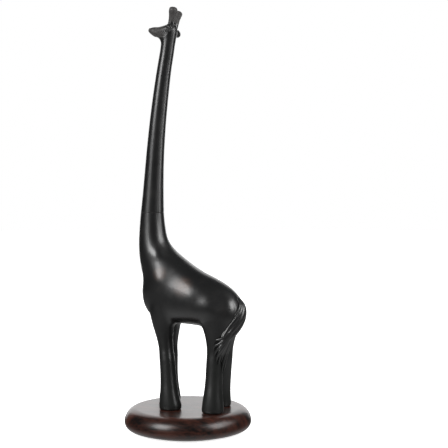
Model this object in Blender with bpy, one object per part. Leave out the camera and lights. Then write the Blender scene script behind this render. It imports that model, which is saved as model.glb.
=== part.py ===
# Carved giraffe on a turned round base.
#
# The giraffe looks along -X and stands on the base with its left side towards -Y; +Z is up.
# The origin is the middle of the underside.  Shapes are written in millimetres, and laid out
# in metres by the functions that make the meshes.

import math

import bmesh
import bpy
from mathutils import Matrix, Vector

MM = 0.001
GAP = 0.3                        # clearance left between two pieces that touch

# Driving dimensions, millimetres
HEIGHT = 482.0                   # floor to the top of the horns
BASE_DIAMETER = 145.0
BASE_TOP = 26.0                  # height of the face that the hooves stand on
FELT_THICKNESS = 1.7
FELT_RADIUS = 58.0
RIM_HEIGHT = 10.5                # height at which the base is widest
TOP_REACH = 14.0                 # how far the rounded edge runs in from the rim, above and below
UNDER_REACH = 9.0
JOINT_HEIGHT = 248.0             # where the neck is glued to the body
DOWEL_RADIUS = 4.0
DOWEL_HALF_LENGTH = 28.0
SCREW_RADIUS = 1.9
SCREW_HEAD_RADIUS = 4.1
SCREW_LENGTH = 36.0
SCREW_HEAD_TOP = 9.0             # height of the flat that the screw heads bear on
HEAD_TURN = math.radians(6.0)    # the head looks a little to the giraffe's left
HEAD_PIVOT_X = -23.0
HORN_BASE = Vector((-18.2, 6.4, 463.0))
HORN_TIP = Vector((-14.4, 10.4, HEIGHT - 0.3))
RIGHT_HORN_DROP = 1.2            # the right horn is carved a little lower than the left
EAR_ROOT = Vector((-20.8, 7.2, 456.4))
EAR_LENGTH = 15.0
SIDES = 24                       # sides of the rings of the torso, neck and head
LEG_SIDES = 16

# Rings of the torso, from the neck joint round to the rump:
# (x and z of the front or under side, x and z of the back or top side, half width)
TORSO = [
    (-57.6, 248.0, -30.8, 248.0, 13.4),
    (-59.0, 230.0, -29.2, 232.0, 14.8),
    (-59.8, 213.0, -25.8, 216.8, 16.6),
    (-58.9, 197.0, -16.6, 205.2, 19.0),
    (-56.4, 183.0, -4.8, 196.0, 21.4),
    (-54.2, 169.0, 7.6, 187.2, 23.6),
    (-56.2, 153.0, 19.8, 180.2, 25.2),
    (-51.0, 136.0, 32.0, 174.8, 26.2),
    (-38.0, 125.0, 42.4, 169.6, 26.8),
    (-19.0, 122.0, 50.8, 164.2, 27.0),
    (2.0, 121.0, 57.8, 157.8, 26.8),
    (22.0, 119.2, 63.0, 150.8, 26.0),
    (38.0, 115.5, 66.0, 143.0, 23.6),
    (50.0, 114.4, 66.8, 134.5, 18.6),
    (57.4, 117.0, 64.6, 126.8, 11.0),
]

# Rings of the neck: (height, x of the middle, radius)
NECK = [
    (248.0, -44.2, 13.4),
    (270.0, -43.1, 12.1),
    (298.0, -41.6, 10.9),
    (326.0, -39.6, 10.1),
    (354.0, -36.9, 9.5),
    (382.0, -33.5, 9.0),
    (410.0, -29.5, 8.4),
    (428.0, -26.3, 8.2),
]

# Rings of the head, fanned round the throat to the nose, in the same form as the torso's
HEAD = [
    (-32.9, 437.0, -16.2, 440.0, 8.3),
    (-32.5, 443.0, -14.4, 450.0, 8.6),
    (-34.0, 446.7, -13.4, 458.0, 9.0),
    (-36.0, 448.8, -16.0, 464.2, 9.2),
    (-38.2, 450.0, -22.5, 464.8, 8.6),
    (-40.5, 450.6, -29.5, 462.7, 7.2),
    (-43.0, 452.3, -36.5, 461.4, 5.5),
    (-45.2, 453.9, -42.0, 460.9, 4.2),
    (-46.9, 455.8, -45.9, 460.2, 2.7),
]

# Rings of each leg: (height, x, y, half length, half width); the hooves stand on the base
LEGS = {
    "left_front": [
        (168.0, -18.0, -8.8, 6.4, 6.5),
        (150.0, -22.0, -11.0, 13.4, 12.0),
        (136.0, -26.0, -11.0, 16.0, 13.0),
        (118.0, -25.4, -11.5, 12.4, 11.2),
        (102.0, -22.7, -12.9, 9.2, 9.4),
        (82.0, -19.4, -15.1, 8.5, 8.7),
        (60.0, -16.8, -17.4, 8.9, 9.2),
        (42.0, -14.8, -19.3, 10.5, 10.6),
        (31.5, -13.4, -20.0, 12.5, 12.0),
    ],
    "right_front": [
        (168.0, -18.0, 8.8, 6.4, 6.5),
        (150.0, -22.0, 11.0, 13.4, 12.0),
        (136.0, -26.0, 11.0, 16.0, 13.0),
        (116.0, -26.4, 11.6, 11.8, 11.0),
        (98.0, -28.5, 14.4, 9.9, 9.4),
        (82.0, -29.9, 17.4, 9.3, 9.0),
        (60.0, -31.5, 21.4, 9.1, 9.0),
        (45.0, -32.4, 24.2, 10.0, 10.0),
        (31.5, -33.4, 26.0, 12.5, 12.0),
    ],
    "left_hind": [
        (136.0, 40.0, -11.0, 19.0, 13.6),
        (118.0, 41.0, -11.4, 17.6, 13.4),
        (106.0, 40.8, -12.6, 13.6, 12.2),
        (92.0, 39.6, -14.6, 10.4, 10.4),
        (76.0, 38.8, -16.6, 9.4, 9.5),
        (57.0, 38.7, -19.0, 9.7, 9.7),
        (43.0, 38.5, -21.0, 10.9, 10.7),
        (31.5, 38.6, -22.0, 12.3, 11.9),
    ],
    "right_hind": [
        (136.0, 40.0, 11.0, 19.0, 13.6),
        (118.0, 41.0, 11.2, 16.6, 13.2),
        (106.0, 40.2, 12.0, 13.2, 12.0),
        (94.0, 39.2, 12.9, 11.1, 10.6),
        (78.0, 38.2, 14.0, 9.9, 9.8),
        (60.0, 36.4, 15.4, 9.8, 9.8),
        (44.0, 34.4, 16.5, 10.7, 10.6),
        (31.5, 33.2, 17.0, 12.4, 11.9),
    ],
}

# Rings of the tail, from its plug in the rump to its tip: (x, y, z, half width, half thickness)
TAIL = [
    (55.5, 0.0, 151.0, 3.0, 2.4),
    (63.2, -0.6, 149.2, 4.0, 3.0),
    (67.0, -3.6, 141.8, 6.8, 4.0),
    (65.9, -8.8, 131.4, 8.4, 4.6),
    (60.0, -14.8, 120.4, 8.0, 4.5),
    (54.0, -20.2, 111.2, 6.6, 3.9),
    (49.8, -24.4, 102.0, 5.4, 3.3),
    (47.2, -25.6, 93.5, 4.4, 2.7),
    (46.0, -25.2, 86.0, 2.4, 1.7),
]

# Rings of a horn, along its own axis: (distance from its foot, radius)
HORN = [
    (-2.6, 3.3),
    (0.0, 3.5),
    (4.0, 3.6),
    (8.0, 3.5),
    (12.0, 3.9),
    (15.2, 4.4),
]

# Rings of an ear, along its own axis: (distance from its root, half height, half depth)
EAR = [
    (-3.6, 1.9, 1.7),
    (0.0, 2.2, 1.9),
    (2.4, 3.1, 2.4),
    (5.6, 4.3, 2.8),
    (9.2, 4.4, 2.7),
    (12.2, 3.3, 2.0),
]
EAR_HOLLOW = [
    (2.2, 1.2, 1.2),
    (5.6, 3.1, 2.3),
    (9.2, 3.3, 2.3),
    (11.9, 2.1, 1.6),
]

LOOKS = {
    "ebony_stain": ((0.013, 0.013, 0.014), 0.34, 0.0),
    "walnut_stain": ((0.044, 0.022, 0.017), 0.28, 0.0),
    "felt": ((0.018, 0.018, 0.018), 0.95, 0.0),
    "steel": ((0.56, 0.56, 0.55), 0.35, 1.0),
    "beech": ((0.52, 0.36, 0.21), 0.62, 0.0),
}


# ---- making meshes ----

def smooth_stations(stations, steps):
    """Catmull-Rom points through the stations, steps to each stretch."""
    result = []
    last = len(stations) - 1
    for index in range(last):
        before = stations[max(index - 1, 0)]
        here = stations[index]
        there = stations[index + 1]
        after = stations[min(index + 2, last)]
        for step in range(steps):
            t = step / steps
            weights = (
                (-t + 2 * t * t - t ** 3) / 2,
                (2 - 5 * t * t + 3 * t ** 3) / 2,
                (t + 4 * t * t - 3 * t ** 3) / 2,
                (t ** 3 - t * t) / 2,
            )
            rows = zip(before, here, there, after)
            result.append(tuple(sum(w * v for w, v in zip(weights, row)) for row in rows))
    result.append(stations[last])
    return result


def oval(middle, along, across, sides):
    """Points of an ellipse with the half axes along and across."""
    angles = [2 * math.pi * index / sides for index in range(sides)]
    return [middle + along * math.cos(angle) + across * math.sin(angle) for angle in angles]


def loft(rings, start_tip=None, end_tip=None):
    """A closed bmesh through the rings; an end is a fan to its tip, or flat where it has none."""
    mesh = bmesh.new()
    rows = [[mesh.verts.new(point * MM) for point in ring] for ring in rings]
    sides = len(rows[0])
    for lower, upper in zip(rows, rows[1:]):
        for index in range(sides):
            following = (index + 1) % sides
            mesh.faces.new((lower[index], lower[following], upper[following], upper[index]))
    for row, tip in ((rows[0], start_tip), (rows[-1], end_tip)):
        if tip is None:
            mesh.faces.new(row)
            continue
        pole = mesh.verts.new(tip * MM)
        for index in range(sides):
            mesh.faces.new((row[index], row[(index + 1) % sides], pole))
    bmesh.ops.recalc_face_normals(mesh, faces=mesh.faces)
    return mesh


def round_bar(stations, sides, start_tip=None, end_tip=None):
    """A turned piece along Z from (height, radius) stations."""
    rings = [
        oval(Vector((0, 0, height)), Vector((radius, 0, 0)), Vector((0, radius, 0)), sides)
        for height, radius in stations
    ]
    return loft(rings, start_tip, end_tip)


def new_object(name, mesh, look=None, location=None, rotation=None):
    """An object from a bmesh, round faces shaded smooth, placed in millimetres."""
    data = bpy.data.meshes.new(name)
    mesh.to_mesh(data)
    mesh.free()
    data.shade_smooth()
    data.set_sharp_from_angle(angle=math.radians(40))
    item = bpy.data.objects.new(name, data)
    bpy.context.collection.objects.link(item)
    if look:
        data.materials.append(material(look))
        item.parent = stand
    if location is not None:
        item.location = location * MM
    if rotation is not None:
        item.rotation_mode = "QUATERNION"
        item.rotation_quaternion = rotation
    return item


def material(look):
    """The Principled material of a finish."""
    found = bpy.data.materials.get(look)
    if found:
        return found
    colour, roughness, metallic = LOOKS[look]
    made = bpy.data.materials.new(look)
    made.use_nodes = True
    shader = made.node_tree.nodes["Principled BSDF"]
    shader.inputs["Base Color"].default_value = (*colour, 1.0)
    shader.inputs["Roughness"].default_value = roughness
    shader.inputs["Metallic"].default_value = metallic
    made.diffuse_color = (*colour, 1.0)
    return made


def combine(target, tool, operation):
    """Join a helper object into a piece, or cut the piece with it."""
    tool.hide_render = True
    tool.display_type = "WIRE"
    change = target.modifiers.new(tool.name, "BOOLEAN")
    change.operation = operation
    change.object = tool
    change.solver = "EXACT"


def peg_hole(target, name, bottom, top, radius, sides=20):
    """Bore an upright round hole between two heights."""
    depth = top - bottom.z
    bar = round_bar([(0.0, radius), (depth, radius)], sides)
    combine(target, new_object(name, bar, location=bottom), "DIFFERENCE")


# ---- shapes of the carved pieces ----

def profile_ring(station, turn=0.0):
    """A ring of the torso or head, turned about the upright line through the head's pivot."""
    front_x, front_z, back_x, back_z, half_width = station
    front = Vector((front_x, 0, front_z))
    back = Vector((back_x, 0, back_z))
    spin = Matrix.Rotation(turn, 3, "Z")
    pivot = Vector((HEAD_PIVOT_X, 0, 0))
    middle = spin @ ((front + back) / 2 - pivot) + pivot
    return oval(middle, spin @ ((back - front) / 2), spin @ Vector((0, half_width, 0)), SIDES)


def in_head(point, side):
    """A point of the head on one side (-1 left, +1 right), carried round by the head's turn."""
    pivot = Vector((HEAD_PIVOT_X, 0, 0))
    local = Vector((point.x, side * point.y, point.z)) - pivot
    return Matrix.Rotation(HEAD_TURN, 3, "Z") @ local + pivot


def torso_mesh():
    rings = [profile_ring(station) for station in smooth_stations(TORSO, 2)]
    return loft(rings, end_tip=Vector((62.2, 0, 120.8)))


def neck_and_head_mesh():
    rings = []
    for height, x, radius in smooth_stations(NECK, 2)[:-1]:
        rings.append(profile_ring((x - radius, height, x + radius, height, radius)))
    height, x, radius = NECK[-1]
    stations = [(x - radius, height, x + radius, height, radius)] + HEAD
    throat = 2
    for index, station in enumerate(smooth_stations(stations, 2)):
        share = min(index / (2 * throat), 1.0)
        rings.append(profile_ring(station, HEAD_TURN * share))
    rings[0] = [point + Vector((0, 0, GAP)) for point in rings[0]]
    nose = in_head(Vector((-47.7, 0, 458.0)), 1)
    return loft(rings, end_tip=nose)


def leg_mesh(stations):
    foot = BASE_TOP + GAP
    hoof = stations[-1]
    tucked = [
        (foot + 2.0, hoof[1], hoof[2], hoof[3] - 0.3, hoof[4] - 0.3),
        (foot, hoof[1], hoof[2], hoof[3] - 1.3, hoof[4] - 1.3),
    ]
    rings = []
    for height, x, y, length, width in smooth_stations(stations, 2) + tucked:
        middle = Vector((x, y, height))
        rings.append(oval(middle, Vector((length, 0, 0)), Vector((0, width, 0)), LEG_SIDES))
    return loft(rings)


def tail_mesh(spare=0.0):
    """The tail, or with spare the slightly larger shape that clears it."""
    stations = smooth_stations(TAIL, 2)
    points = [Vector(station[:3]) for station in stations]
    rings = []
    for index, (x, y, z, width, thickness) in enumerate(stations):
        tangent = points[min(index + 1, len(points) - 1)] - points[max(index - 1, 0)]
        tangent.normalize()
        outward = Vector((x - 40.0, y * 1.6, 0))
        outward = (outward - tangent * outward.dot(tangent)).normalized()
        across = tangent.cross(outward)
        rings.append(oval(points[index], across * (width + spare), outward * (thickness + spare), 12))
    tip = Vector((45.4, -24.8, 80.5 - spare))
    return loft(rings, points[0] - Vector((spare, 0, 0)), tip)


def horn_mesh(spare=0.0):
    """A horn along its own +Z, with the plug that sits in the head below its foot."""
    stations = smooth_stations(HORN, 2)
    stations = [(distance, radius + spare) for distance, radius in stations]
    length = (HORN_TIP - HORN_BASE).length
    cap = [(length - 1.6, 3.7 + spare), (length - 0.5, 2.3 + spare)]
    start = Vector((0, 0, HORN[0][0] - 0.6 - spare))
    return round_bar(stations + cap, 14, start, Vector((0, 0, length)))


def ear_rings(stations, offset, spare=0.0):
    return [
        oval(Vector((offset, 0, distance)), Vector((depth + spare, 0, 0)),
             Vector((0, height + spare, 0)), 14)
        for distance, height, depth in smooth_stations(stations, 2)
    ]


def ear_mesh(spare=0.0):
    """An ear along its own +Z, its hollow open towards -X."""
    start = Vector((0, 0, EAR[0][0] - 0.4 - spare))
    return loft(ear_rings(EAR, 0.0, spare), start, Vector((0, 0, EAR_LENGTH)))


def horn_place(side):
    """Foot of a horn, and the turn that lays its axis towards its tip."""
    drop = Vector((0, 0, RIGHT_HORN_DROP if side > 0 else 0.0))
    foot = in_head(HORN_BASE - drop, side)
    axis = in_head(HORN_TIP - drop, side) - foot
    return foot, axis.to_track_quat("Z", "Y")


def ear_place(side):
    """Root of an ear, and the turn that lays its axis out sideways with the hollow to the front."""
    outward = Vector((0.34, side, -0.14)).normalized()
    forward = Vector((-1, 0, 0))
    height = outward.cross(-forward).normalized()
    depth = height.cross(outward)
    frame = Matrix((depth, height, outward)).transposed()
    turn = Matrix.Rotation(HEAD_TURN, 3, "Z") @ frame
    return in_head(EAR_ROOT, side), turn.to_quaternion()


# ---- the pieces ----

def make_base():
    """Turned disc with a full rounded edge, bored and counterbored for the four screws."""
    rim = BASE_DIAMETER / 2
    bottom = FELT_THICKNESS + GAP
    profile = []
    quarter = 5
    for reach, end, steps in (
        (TOP_REACH, BASE_TOP, range(quarter, -1, -1)),
        (UNDER_REACH, bottom, range(1, quarter + 1)),
    ):
        for step in steps:
            angle = math.pi / 2 * step / quarter
            height = RIM_HEIGHT + (end - RIM_HEIGHT) * math.sin(angle)
            profile.append((height, rim - reach + reach * math.cos(angle)))
    base = new_object("base_disc", round_bar(profile, 56), "walnut_stain")
    for name, stations in LEGS.items():
        foot = Vector((stations[-1][1], stations[-1][2], 0))
        peg_hole(base, name + "_screw_hole", foot, BASE_TOP + 5, SCREW_RADIUS + GAP, 16)
        peg_hole(base, name + "_counterbore", foot, SCREW_HEAD_TOP + GAP, SCREW_HEAD_RADIUS + 0.6, 20)


def make_felt():
    pad = round_bar([(0.0, FELT_RADIUS), (FELT_THICKNESS, FELT_RADIUS)], 48)
    new_object("base_felt", pad, "felt")


def make_screws():
    """Four wood screws, each driven up through the base into a leg."""
    stations = [
        (-3.4, SCREW_HEAD_RADIUS),
        (-2.4, SCREW_HEAD_RADIUS),
        (0.0, SCREW_RADIUS),
        (SCREW_LENGTH - 5.0, SCREW_RADIUS),
    ]
    for name, rings in LEGS.items():
        screw = round_bar(stations, 16, end_tip=Vector((0, 0, SCREW_LENGTH)))
        place = Vector((rings[-1][1], rings[-1][2], SCREW_HEAD_TOP))
        new_object(name + "_leg_screw", screw, "steel", place)


def make_body():
    """Torso and four legs, carved from one block."""
    body = new_object("body", torso_mesh(), "ebony_stain")
    for name, stations in LEGS.items():
        combine(body, new_object(name + "_leg", leg_mesh(stations)), "UNION")
        foot = Vector((stations[-1][1], stations[-1][2], BASE_TOP - 5))
        pilot_top = SCREW_HEAD_TOP + SCREW_LENGTH + 1.0
        peg_hole(body, name + "_pilot", foot, pilot_top, SCREW_RADIUS + GAP, 12)
    combine(body, new_object("tail_bed", tail_mesh(GAP)), "DIFFERENCE")
    bottom = Vector((NECK[0][1], 0, JOINT_HEIGHT - DOWEL_HALF_LENGTH - 1))
    peg_hole(body, "body_dowel_hole", bottom, JOINT_HEIGHT + 5, DOWEL_RADIUS + GAP)


def make_neck_and_head():
    """Neck and head, carved from a second block and bored for the dowel, horns and ears."""
    neck = new_object("neck_and_head", neck_and_head_mesh(), "ebony_stain")
    bottom = Vector((NECK[0][1], 0, JOINT_HEIGHT - 5))
    peg_hole(neck, "neck_dowel_hole", bottom, JOINT_HEIGHT + DOWEL_HALF_LENGTH + 1, DOWEL_RADIUS + GAP)
    for word, side in (("left", -1), ("right", 1)):
        foot, turn = horn_place(side)
        combine(neck, new_object(word + "_horn_socket", horn_mesh(GAP), None, foot, turn), "DIFFERENCE")
        root, turn = ear_place(side)
        combine(neck, new_object(word + "_ear_socket", ear_mesh(GAP), None, root, turn), "DIFFERENCE")


def make_dowel():
    """Chamfered beech peg across the neck joint."""
    reach = DOWEL_HALF_LENGTH
    stations = [(-reach, DOWEL_RADIUS - 0.8), (-reach + 1.5, DOWEL_RADIUS),
                (reach - 1.5, DOWEL_RADIUS), (reach, DOWEL_RADIUS - 0.8)]
    new_object("neck_dowel", round_bar(stations, 20), "beech", Vector((NECK[0][1], 0, JOINT_HEIGHT)))


def make_tail():
    new_object("tail", tail_mesh(), "ebony_stain")


def make_horns():
    for word, side in (("left", -1), ("right", 1)):
        foot, turn = horn_place(side)
        new_object(word + "_horn", horn_mesh(), "ebony_stain", foot, turn)


def make_ears():
    for word, side in (("left", -1), ("right", 1)):
        root, turn = ear_place(side)
        ear = new_object(word + "_ear", ear_mesh(), "ebony_stain", root, turn)
        hollow = loft(ear_rings(EAR_HOLLOW, -2.2), Vector((-2.2, 0, 1.6)), Vector((-2.2, 0, 12.7)))
        combine(ear, new_object(word + "_ear_hollow", hollow, None, root, turn), "DIFFERENCE")


for leftover in list(bpy.data.objects):
    bpy.data.objects.remove(leftover)

stand = bpy.data.objects.new("giraffe_statue", None)
bpy.context.collection.objects.link(stand)

make_base()
make_felt()
make_screws()
make_body()
make_neck_and_head()
make_dowel()
make_tail()
make_horns()
make_ears()
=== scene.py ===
# Looks for the carved giraffe statue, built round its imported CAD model
import math

import bmesh
import bpy
import numpy as np
from mathutils import Matrix, Vector


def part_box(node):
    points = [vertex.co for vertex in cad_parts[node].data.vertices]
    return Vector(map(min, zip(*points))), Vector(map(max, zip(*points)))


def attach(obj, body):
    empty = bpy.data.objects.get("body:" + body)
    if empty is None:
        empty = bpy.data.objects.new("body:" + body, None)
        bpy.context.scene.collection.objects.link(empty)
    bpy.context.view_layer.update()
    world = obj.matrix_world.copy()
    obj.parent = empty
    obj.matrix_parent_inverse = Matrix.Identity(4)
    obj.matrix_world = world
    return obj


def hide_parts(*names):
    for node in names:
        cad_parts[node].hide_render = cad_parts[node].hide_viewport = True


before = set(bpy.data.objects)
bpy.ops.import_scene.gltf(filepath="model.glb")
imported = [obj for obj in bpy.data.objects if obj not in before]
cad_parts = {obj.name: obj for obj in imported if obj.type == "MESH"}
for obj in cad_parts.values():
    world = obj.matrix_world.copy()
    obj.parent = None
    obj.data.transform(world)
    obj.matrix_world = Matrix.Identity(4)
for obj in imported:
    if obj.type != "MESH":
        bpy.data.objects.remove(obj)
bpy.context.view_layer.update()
mm = 0.001
print("frame loaded")


# small helpers for rings, meshes and modifiers; lengths are millimetres until a mesh is made

def throughStations(stations, steps, ease):
    # smooth rows of numbers through the stations; ease is how many times the row is averaged
    rows = np.array(stations, float)
    padded = np.vstack([2 * rows[0] - rows[1], rows, 2 * rows[-1] - rows[-2]])
    out = []
    for i in range(len(rows) - 1):
        a, b, c, d = padded[i:i + 4]
        for t in np.arange(steps) / steps:
            out.append(0.5 * (2 * b + (c - a) * t + (2 * a - 5 * b + 4 * c - d) * t * t
                              + (3 * b - a - 3 * c + d) * t ** 3))
    out = np.array(out + [rows[-1]])
    for _ in range(ease):
        out[1:-1] = out[1:-1] / 2 + (out[:-2] + out[2:]) / 4
    return out


def roundAngles(sides):
    return np.arange(sides) * 2 * math.pi / sides


def oval(middle, along, across, sides, squareness=2.0):
    # one ring; squareness 2 is an ellipse and more is boxier
    angles = roundAngles(sides)
    c, s = np.cos(angles), np.sin(angles)
    u = np.sign(c) * np.abs(c) ** (2 / squareness)
    v = np.sign(s) * np.abs(s) ** (2 / squareness)
    return np.array(middle) + np.outer(u, along) + np.outer(v, across)


def meshObject(name, points, faces):
    data = bpy.data.meshes.new(name)
    data.from_pydata((np.array(points) * mm).tolist(), [], faces)
    data.update()
    data.shade_smooth()
    obj = bpy.data.objects.new(name, data)
    bpy.context.scene.collection.objects.link(obj)
    return obj


def loft(name, rings, startTip=None, endTip=None):
    # a closed skin over the rings; an end is a fan to its tip, or to its own middle
    rings = np.array(rings)
    count, sides = rings.shape[:2]
    points = list(rings.reshape(-1, 3))
    grid = np.arange(count * sides).reshape(count, sides)
    following = np.roll(grid, -1, axis=1)
    quads = np.stack([grid[:-1], following[:-1], following[1:], grid[1:]], axis=-1)
    faces = quads.reshape(-1, 4).tolist()
    for row, tip, flip in ((0, startTip, True), (-1, endTip, False)):
        points.append(rings[row].mean(axis=0) if tip is None else np.array(tip, float))
        pole = len(points) - 1
        for a, b in zip(grid[row].tolist(), following[row].tolist()):
            faces.append([b, a, pole] if flip else [a, b, pole])
    obj = meshObject(name, points, faces)
    body = bmesh.new()
    body.from_mesh(obj.data)
    if body.calc_volume(signed=True) < 0:
        bmesh.ops.reverse_faces(body, faces=body.faces)
    body.to_mesh(obj.data)
    body.free()
    return obj


def applied(obj):
    # the object's modifiers become its mesh
    bpy.context.view_layer.update()
    depsgraph = bpy.context.evaluated_depsgraph_get()
    made = bpy.data.meshes.new_from_object(obj.evaluated_get(depsgraph))
    obj.modifiers.clear()
    old = obj.data
    obj.data = made
    bpy.data.meshes.remove(old)
    obj.data.shade_smooth()
    return obj


def joined(name, parts):
    body = bmesh.new()
    for part in parts:
        body.from_mesh(part.data)
        bpy.data.objects.remove(part)
    data = bpy.data.meshes.new(name)
    body.to_mesh(data)
    body.free()
    obj = bpy.data.objects.new(name, data)
    bpy.context.scene.collection.objects.link(obj)
    return obj


def remeshed(obj, voxel):
    change = obj.modifiers.new("skin", "REMESH")
    change.mode = "VOXEL"
    change.voxel_size = voxel * mm
    change.use_smooth_shade = True
    return applied(obj)


def cut(obj, tools):
    # takes each tool's shape out of the piece
    for tool in tools:
        change = obj.modifiers.new("cut", "BOOLEAN")
        change.operation = "DIFFERENCE"
        change.solver = "MANIFOLD"
        change.object = tool
    applied(obj)
    for tool in tools:
        bpy.data.objects.remove(tool)


def getPoints(obj):
    flat = np.zeros(len(obj.data.vertices) * 3, np.float32)
    obj.data.vertices.foreach_get("co", flat)
    return flat.reshape(-1, 3).astype(float) / mm


def setPoints(obj, points):
    obj.data.vertices.foreach_set("co", (points * mm).astype(np.float32).ravel())
    obj.data.update()


def getNormals(obj):
    flat = np.zeros(len(obj.data.vertices) * 3, np.float32)
    obj.data.vertex_normals.foreach_get("vector", flat)
    return flat.reshape(-1, 3).astype(float)


def relaxed(obj, rounds):
    # the points that the mesh would have after being smoothed
    probe = obj.copy()
    bpy.context.scene.collection.objects.link(probe)
    change = probe.modifiers.new("ease", "SMOOTH")
    change.iterations = rounds
    change.factor = 0.5
    bpy.context.view_layer.update()
    made = probe.evaluated_get(bpy.context.evaluated_depsgraph_get()).data
    flat = np.zeros(len(made.vertices) * 3, np.float32)
    made.vertices.foreach_get("co", flat)
    bpy.data.objects.remove(probe)
    return flat.reshape(-1, 3).astype(float) / mm


def rise(value, low, high):
    # 0 below low, 1 above high, and an even curve between
    t = np.clip((value - low) / (high - low), 0, 1)
    return t * t * (3 - 2 * t)


def bell(distance, width):
    return np.exp(-(distance / width) ** 2)


def cylinder(name, foot, height, radius, sides=32):
    ends = [np.array(foot) + (0, 0, h) for h in (0, height)]
    return loft(name, [oval(end, (radius, 0, 0), (0, radius, 0), sides) for end in ends])


# torso, from the neck joint round to the rump: x and z of the front or under side,
# x and z of the back or top side, half width
torso = {
    "stations": [
        (-57.6, 248.0, -30.8, 248.0, 13.4),
        (-59.0, 230.0, -29.2, 232.0, 14.8),
        (-59.8, 213.0, -25.8, 216.8, 16.6),
        (-58.9, 197.0, -16.6, 205.2, 19.0),
        (-56.4, 183.0, -4.8, 196.0, 21.4),
        (-54.2, 169.0, 7.6, 187.2, 23.6),
        (-56.2, 153.0, 19.8, 180.2, 25.2),
        (-51.0, 136.0, 32.0, 174.8, 26.2),
        (-38.0, 125.0, 42.4, 169.6, 26.8),
        (-19.0, 122.0, 50.8, 164.2, 27.0),
        (2.0, 121.0, 57.8, 157.8, 26.8),
        (22.0, 119.2, 63.0, 150.8, 26.0),
        (38.0, 115.5, 66.0, 143.0, 23.6),
        (50.0, 114.4, 66.8, 134.5, 18.6),
        (57.4, 117.0, 64.6, 126.8, 11.0),
    ],
    "tip": (62.2, 0, 120.8),
    "sides": 120,
    "steps": 12,
    "ease": 20,
    "overlap": 5,                  # rings kept above the joint, to be sawn off
    "voxel": 0.7,
    "filletRounds": 380,           # how often the creases are smoothed
    "filletFrom": (80, 96),        # heights over which the filling starts and ends
    "filletTo": (150, 165),
    "filled": 6.0,                 # the most that is filled in and that is worn away
    "worn": 0.9,
    "easeRounds": 14,
    "swell": 0.08,                 # gives back what the smoothing took
    # soft muscle forms, the same on both sides: x, y, z, radius, height
    "muscles": [
        (-30.5, 19, 202, 7, 1.0),      # neck's root
        (-25.5, 23.5, 173, 9, 1.2),    # shoulder
        (-12, 24, 180, 14, -0.8),
        (20, 26, 158, 22, 1.55),       # belly
        (15, 25.5, 160, 12, 0.8),      # last ribs
        (22, 27, 150, 8, -0.5),
        (33, 26, 147, 10, 0.75),       # hip
        (45, 21, 149, 8, -0.5),
        (56, 14, 148, 11, 0.75),       # rump
    ],
}

# neck and head: the neck's rings are (height, x of the middle, radius), the head's are as the torso's
neck = {
    "stations": [
        (248.0, -44.2, 13.4),
        (270.0, -43.1, 12.1),
        (298.0, -41.6, 10.9),
        (326.0, -39.6, 10.1),
        (354.0, -36.9, 9.5),
        (382.0, -33.5, 9.0),
        (410.0, -29.5, 8.4),
        (428.0, -26.3, 8.2),
    ],
    "sides": 144,
    "steps": 24,
    "ease": 16,
    "jointGap": 0.04,              # the hairline of the glued joint
}
head = {
    "stations": [
        (-32.9, 437.0, -16.2, 440.0, 8.3),
        (-32.5, 443.0, -14.4, 450.0, 8.6),
        (-34.0, 446.7, -13.4, 458.0, 9.0),
        (-36.0, 448.8, -16.0, 463.9, 9.2),
        (-38.2, 449.8, -22.5, 463.9, 8.6),
        (-40.5, 450.4, -29.5, 461.9, 7.2),
        (-43.0, 452.1, -36.5, 460.9, 5.5),
        (-45.2, 453.9, -42.0, 460.9, 4.2),
        (-46.9, 455.8, -45.9, 460.2, 2.7),
    ],
    "nose": (-47.7, 0.0, 458.0),
    "turn": math.radians(6.0),     # the head looks this much to one side
    "turnFrom": (429, 446),        # heights over which the turn grows
    "pivotX": -23.0,
    "carvedAbove": 440,            # the carving lies above this height and before this x
    "carvedBefore": -14,
    "strokeEnds": 0.35,            # what a stroke's ends keep of its depth
}

# legs, hoof last: height, x, y, half length, half width
legs = {
    "leftFront": [
        (136.0, -26.0, -11.0, 16.0, 13.0),
        (118.0, -25.4, -11.5, 12.4, 11.2),
        (102.0, -22.7, -12.9, 9.2, 9.4),
        (82.0, -19.4, -15.1, 8.5, 8.7),
        (60.0, -16.8, -17.4, 8.9, 9.2),
        (42.0, -14.8, -19.3, 10.5, 10.3),
        (31.5, -13.4, -20.0, 12.5, 11.1),
    ],
    "rightFront": [
        (136.0, -26.0, 11.0, 16.0, 13.0),
        (116.0, -26.4, 11.6, 11.8, 11.0),
        (98.0, -28.5, 14.4, 9.9, 9.4),
        (82.0, -29.9, 17.4, 9.3, 9.0),
        (60.0, -31.5, 21.4, 9.1, 9.0),
        (45.0, -32.4, 24.2, 10.0, 9.9),
        (31.5, -33.4, 26.0, 12.5, 11.1),
    ],
    "leftHind": [
        (136.0, 40.0, -11.0, 19.0, 13.6),
        (118.0, 41.0, -11.4, 17.6, 13.4),
        (106.0, 40.8, -12.6, 13.6, 12.2),
        (92.0, 39.6, -14.6, 10.4, 10.4),
        (76.0, 38.8, -16.6, 9.4, 9.5),
        (57.0, 38.7, -19.0, 9.7, 9.7),
        (43.0, 38.5, -21.0, 10.9, 10.4),
        (31.5, 38.6, -22.0, 12.3, 11.0),
    ],
    "rightHind": [
        (136.0, 40.0, 11.0, 19.0, 13.6),
        (118.0, 41.0, 11.2, 16.6, 13.2),
        (106.0, 40.2, 12.0, 13.2, 12.0),
        (94.0, 39.2, 12.9, 11.1, 10.6),
        (78.0, 38.2, 14.0, 9.9, 9.8),
        (60.0, 36.4, 15.4, 9.8, 9.8),
        (44.0, 34.4, 16.5, 10.7, 10.3),
        (31.5, 33.2, 17.0, 12.4, 11.0),
    ],
}
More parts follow.
